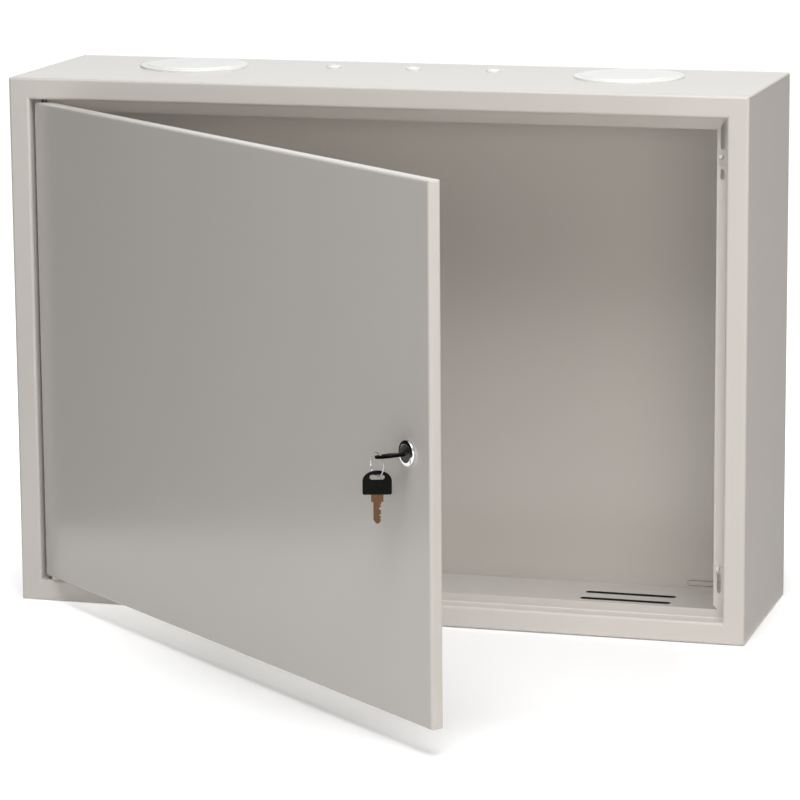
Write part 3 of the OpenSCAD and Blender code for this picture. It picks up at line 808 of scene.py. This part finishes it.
def plug(node, lugs, step, wall, steps):
    """A plug in the place of a node, on the top sheet; step is how far in its raised middle begins."""
    lowest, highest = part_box(node)
    middle = (lowest + highest) / 2
    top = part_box("top_panel")[1].z
    r, cap, skirt = (highest.x - lowest.x) / 2 / MM, (highest.z - top) / MM, (top - lowest.z) / MM
    below_cap = [p - middle for p in points_of(node) if p.z < top - 0.0005]
    outer = max(math.hypot(p.x, p.y) for p in below_cap) / MM
    rim = cap * RIM_SHARE
    top_side = [(0, cap), (r - step, cap), (r - step + (cap - rim), rim), (r, rim), (r, 0)]
    under_side = [(outer, 0), (outer, -skirt + LEAD_IN), (outer - LEAD_IN_STEP, -skirt),
                  (outer - wall, -skirt), (outer - wall, 0), (0, 0)]
    profile = soften(top_side + under_side, {3: rim * RIM_ROUND})
    made = spin(node + "_moulding", profile, steps, white_plastic)
    drop = (skirt - SHEET - 2 * LUG_GAP) * LUG_HEIGHT
    run_tree(made, lug_tree, Matrix.Translation((middle.x, middle.y, top)), Lugs=lugs,
             Radius=(outer - LUG_ROOT) * MM, Level=-(SHEET + LUG_GAP + drop / 2) * MM,
             Width=outer * LUG_WIDTH * MM, Reach=LUG_REACH * MM, Drop=drop * MM)
    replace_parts(sharpen(made, 30), node)
    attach(made, "case")
    print(made.name, round(2 * r, 1), "mm across")


for side in ("left", "right"):
    plug("large_plug_" + side, lugs=8, step=7.0, wall=1.8, steps=96)
for side in ("left", "middle", "right"):
    plug("small_plug_" + side, lugs=4, step=2.2, wall=1.2, steps=48)

# %% [markdown]
# ## The studio
# The cabinet stands on a white sweep. A large soft lamp high in front lights its top, its floor and the
# ground, a weaker one hangs overhead, and low soft lamps in front and to the right reach into the case. The
# lamps are set so that the coat shows about the colour that it is given.

# %% Soft lamps
MIDDLE = Vector((0, -0.15, 0))


def soft_lamp(name, azimuth, elevation, distance, size, power, colour):
    """A soft lamp that faces the cabinet; azimuth 0 is straight in front and 90 to the right."""
    data = bpy.data.lights.new(name, "AREA")
    data.shape = "RECTANGLE"
    data.size, data.size_y = size
    data.energy = power
    data.color = colour
    turn, rise = math.radians(azimuth), math.radians(elevation)
    away = Vector((math.sin(turn) * math.cos(rise), -math.cos(turn) * math.cos(rise), math.sin(rise)))
    made = bpy.data.objects.new(name, data)
    made.location = MIDDLE + distance * away
    made.rotation_euler = (-away).to_track_quat("-Z", "Y").to_euler()
    scene.collection.objects.link(made)


soft_lamp("top_lamp", azimuth=0, elevation=88, distance=1.9, size=(1.4, 1.4), power=10.0,
          colour=(0.95, 1.0, 1.0))
soft_lamp("top_front_lamp", azimuth=22, elevation=60, distance=2.3, size=(1.4, 1.2), power=38.0,
          colour=(0.99, 0.995, 1.0))
soft_lamp("front_lamp", azimuth=18, elevation=8, distance=3.6, size=(2.6, 1.0), power=35.0,
          colour=(1.0, 0.955, 0.91))
soft_lamp("right_lamp", azimuth=80, elevation=12, distance=3.0, size=(1.4, 1.4), power=15.0,
          colour=(1.0, 0.87, 0.77))

# %% [markdown]
# ## The sweep and the cards
# The sweep is white by its own light wherever the camera or a mirror looks, and dims towards the cabinet,
# so that it still shows its soft shadow. A dark card under the case is painted shade: it stands for the
# shade that falls there, so that the vents look down into dark. A black card to the left and two grey ones
# at the right, one upright and one flat, show only in the gloss of the paint. They work as a studio's flags
# do, and give the door and the side their darker sheen.

# %% White sweep
def card(name, low, high, material):
    """A flat card of the studio between two opposite corners, either lying or upright."""
    (x0, y0, z0), (x1, y1, z1) = low, high
    if z0 == z1:
        corners = [(x0, y0, z0), (x1, y0, z0), (x1, y1, z0), (x0, y1, z0)]
    else:
        corners = [(x0, y0, z0), (x1, y1, z0), (x1, y1, z1), (x0, y0, z1)]
    mesh = bpy.data.meshes.new(name)
    mesh.from_pydata(corners, [], [(0, 1, 2, 3)])
    mesh.materials.append(material)
    made = bpy.data.objects.new(name, mesh)
    scene.collection.objects.link(made)
    return made


def matt_material(name, colour, glow):
    """A matt material of the studio, which may give off a little white light of its own."""
    made, tree, shader, place = new_material(name)
    plug_in(tree, shader, "Base Color", (*colour, 1))
    plug_in(tree, shader, "Roughness", 1.0)
    plug_in(tree, shader, "Specular IOR Level", 0.0)
    plug_in(tree, shader, "Emission Color", (1, 1, 1, 1))
    plug_in(tree, shader, "Emission Strength", glow)
    return made, tree, shader, place


def looked_at(tree):
    """One where the camera, a mirror or a glass looks straight at the surface, and zero for light."""
    rays = tree.nodes.new("ShaderNodeLightPath").outputs
    total = maths(tree, "ADD", rays["Is Camera Ray"], rays["Is Glossy Ray"])
    return maths(tree, "ADD", total, rays["Is Transmission Ray"])


GROUND = floor_z - 0.0005
HALF_SWEEP = 6.0
SHADE_MIDDLE = (0.1, -0.3, GROUND)
sweep, tree, shader, place = matt_material("white_sweep", (0.92, 0.92, 0.92), 0.0)
distance = add(tree, "ShaderNodeVectorMath", **{"0": place, "1": SHADE_MIDDLE})
distance.operation = "DISTANCE"
glow = spread(tree, distance.outputs["Value"], low=0.14, high=1.0, start=0.20, end=0.72)
plug_in(tree, shader, "Emission Strength", maths(tree, "MULTIPLY", glow, looked_at(tree)))
card("floor", (-HALF_SWEEP, -HALF_SWEEP, GROUND), (HALF_SWEEP, HALF_SWEEP, GROUND), sweep)
print("sweep", 2 * HALF_SWEEP, "m wide")

# %% Cards
LEFT_OF_CASE, RIGHT_OF_CASE, BEHIND_CASE = case_low.x - 0.27, 0.352, 0.7
FLAG_END = 2.4
BASE_LEVEL, SIDE_LEVEL = GROUND + 0.0003, GROUND + 0.001      # lying cards keep clear of the sweep
BASE_WIDTH, BASE_DEPTH = 0.97, 0.92   # the painted shade sheet's shares of the case's width and depth


def only_in_gloss(made):
    """Keeps a card out of every view and light path but gloss."""
    made.visible_camera = False
    made.visible_diffuse = False
    made.visible_shadow = False
    made.visible_transmission = False


dark_sheet = matt_material("dark_sheet", (0.03, 0.03, 0.03), 0.0)[0]
black_flag = matt_material("black_flag", (0.01, 0.01, 0.01), 0.0)[0]
grey_flag = matt_material("grey_flag", (0.01, 0.01, 0.01), 0.42)[0]
half_x, front_y = BASE_WIDTH * case_high.x, BASE_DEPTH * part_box("bottom_panel")[0].y
# painted shade: a dark card under the case stands for the shade that falls there
card("dark_base", (-half_x, front_y, BASE_LEVEL), (half_x, -0.01, BASE_LEVEL), dark_sheet)
only_in_gloss(card("left_flag", (LEFT_OF_CASE, -1.6, GROUND), (LEFT_OF_CASE, 0.3, 1.4), black_flag))
only_in_gloss(card("back_flag", (RIGHT_OF_CASE, BEHIND_CASE, GROUND),
                   (FLAG_END, BEHIND_CASE, 0.33), grey_flag))
only_in_gloss(card("side_flag", (RIGHT_OF_CASE, -0.8, SIDE_LEVEL),
                   (FLAG_END, BEHIND_CASE, SIDE_LEVEL), grey_flag))
print("cards:", "dark_base, left_flag, back_flag, side_flag")

# %% White surroundings
world = bpy.data.worlds.new("studio")
scene.world = world
world.use_nodes = True
tree = world.node_tree
tree.nodes.clear()
sky = add(tree, "ShaderNodeBackground", Color=(1, 1, 1, 1))
plug_in(tree, sky, "Strength", spread(tree, looked_at(tree), 0.02, 1.0))
out = tree.nodes.new("ShaderNodeOutputWorld")
tree.links.new(sky.outputs["Background"], out.inputs["Surface"])
print("surroundings white")
